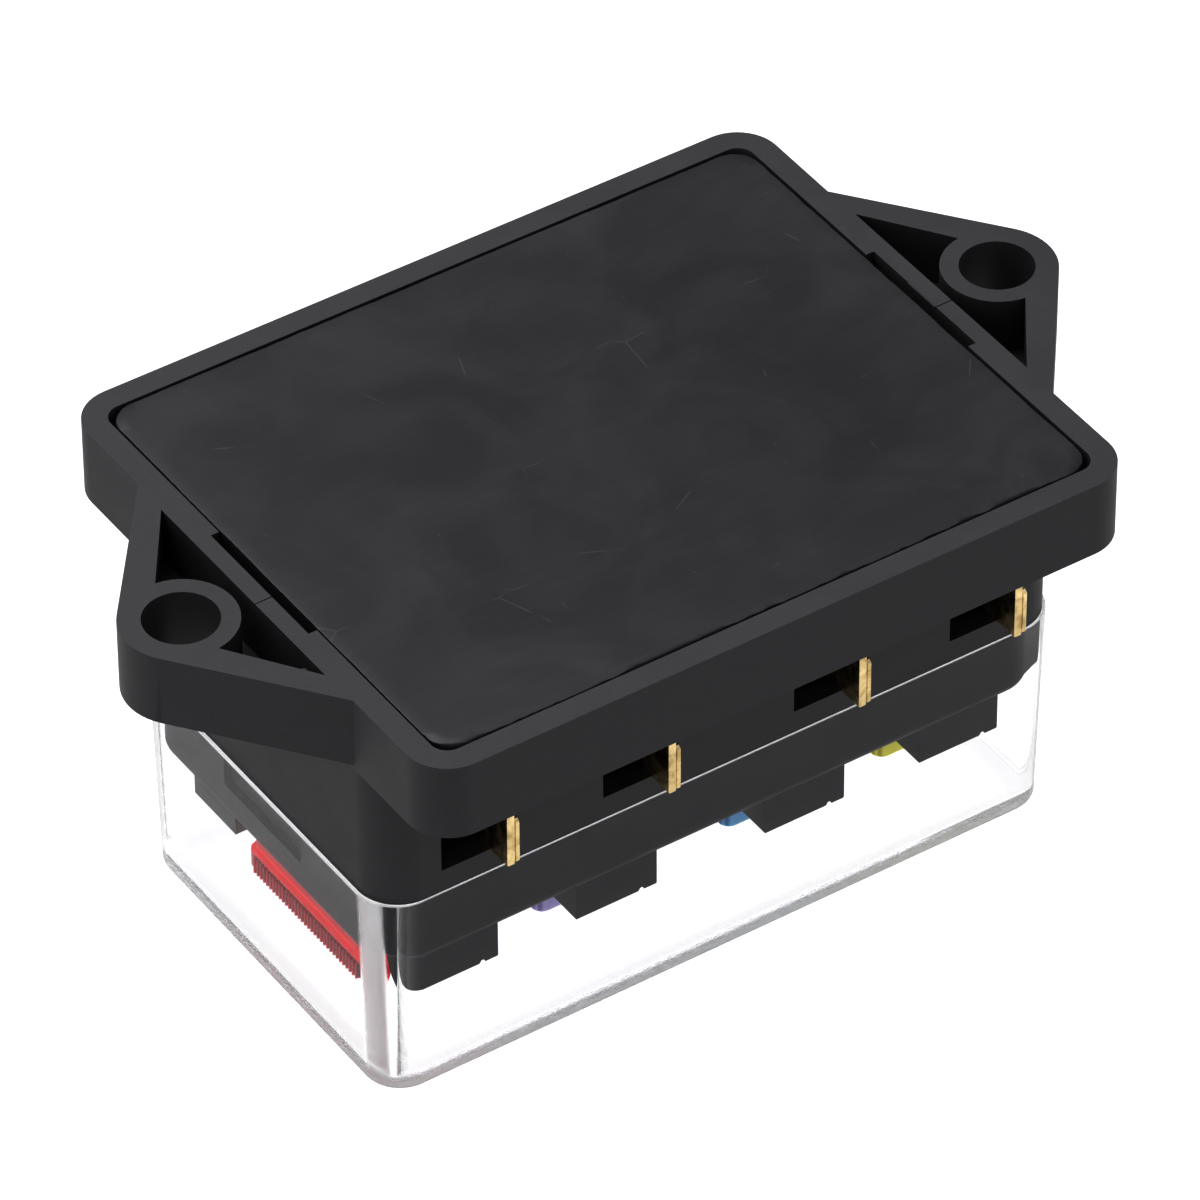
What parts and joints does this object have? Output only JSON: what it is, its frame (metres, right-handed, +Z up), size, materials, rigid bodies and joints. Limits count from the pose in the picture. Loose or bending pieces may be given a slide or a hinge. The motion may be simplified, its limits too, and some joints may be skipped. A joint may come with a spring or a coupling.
{
  "type": "blade fuse block with clear cover",
  "caption": "Covered block for plug-in blade fuses: black base with two mounting ears, brass tabs through windows in its long sides, and a clear clip-on cover.",
  "frame": {"origin": "centre of the clear cover's outer face, which the block lies on", "axes": "+X along the long side, from ear to ear; +Y towards the back row of tabs; +Z up to the mounting face"},
  "size_m": [0.0928, 0.0568, 0.0433],
  "materials": {
    "black_plastic": "matt moulded black plastic with fine spark texture",
    "plate_plastic": "matt black plastic with a fine brushed grain and handling scratches",
    "clear_plastic": "clear glossy polycarbonate",
    "terminal_brass": "stamped brass, sheared edges",
    "fuse_red": "tinted fuse plastic, red",
    "fuse_violet": "tinted fuse plastic, pale violet",
    "fuse_blue": "tinted fuse plastic, blue",
    "fuse_yellow": "tinted fuse plastic, yellow",
    "fuse_metal": "tin-plated zinc strip"
  },
  "bodies": {
    "cover": {"clear_cover": "clear_plastic"},
    "base": {"base_housing": "black_plastic", "bottom_plate": "plate_plastic", "terminal_front_1": "terminal_brass", "terminal_front_2": "terminal_brass", "terminal_front_3": "terminal_brass", "terminal_front_4": "terminal_brass", "terminal_back_1": "terminal_brass", "terminal_back_2": "terminal_brass", "terminal_back_3": "terminal_brass", "terminal_back_4": "terminal_brass"},
    "fuse_1": {"fuse_body_1": "fuse_red", "fuse_element_1": "fuse_metal"},
    "fuse_2": {"fuse_body_2": "fuse_violet", "fuse_element_2": "fuse_metal"},
    "fuse_3": {"fuse_body_3": "fuse_blue", "fuse_element_3": "fuse_metal"},
    "fuse_4": {"fuse_body_4": "fuse_yellow", "fuse_element_4": "fuse_metal"}
  },
  "joints": [
    {"name": "base_lift", "type": "slide", "parent": "cover", "child": "base", "axis": [0, 0, 1], "range_m": [0, 0.045]},
    {"name": "fuse_pull_1", "type": "slide", "parent": "base", "child": "fuse_1", "axis": [0, 0, -1], "range_m": [0, 0.018]},
    {"name": "fuse_pull_2", "type": "slide", "parent": "base", "child": "fuse_2", "axis": [0, 0, -1], "range_m": [0, 0.018]},
    {"name": "fuse_pull_3", "type": "slide", "parent": "base", "child": "fuse_3", "axis": [0, 0, -1], "range_m": [0, 0.018]},
    {"name": "fuse_pull_4", "type": "slide", "parent": "base", "child": "fuse_4", "axis": [0, 0, -1], "range_m": [0, 0.018]}
  ],
  "couplings": [
    {"joint": "fuse_pull_1", "follows": "base_lift", "ratio": 0.4},
    {"joint": "fuse_pull_2", "follows": "base_lift", "ratio": 0.4},
    {"joint": "fuse_pull_3", "follows": "base_lift", "ratio": 0.4},
    {"joint": "fuse_pull_4", "follows": "base_lift", "ratio": 0.4}
  ]
}
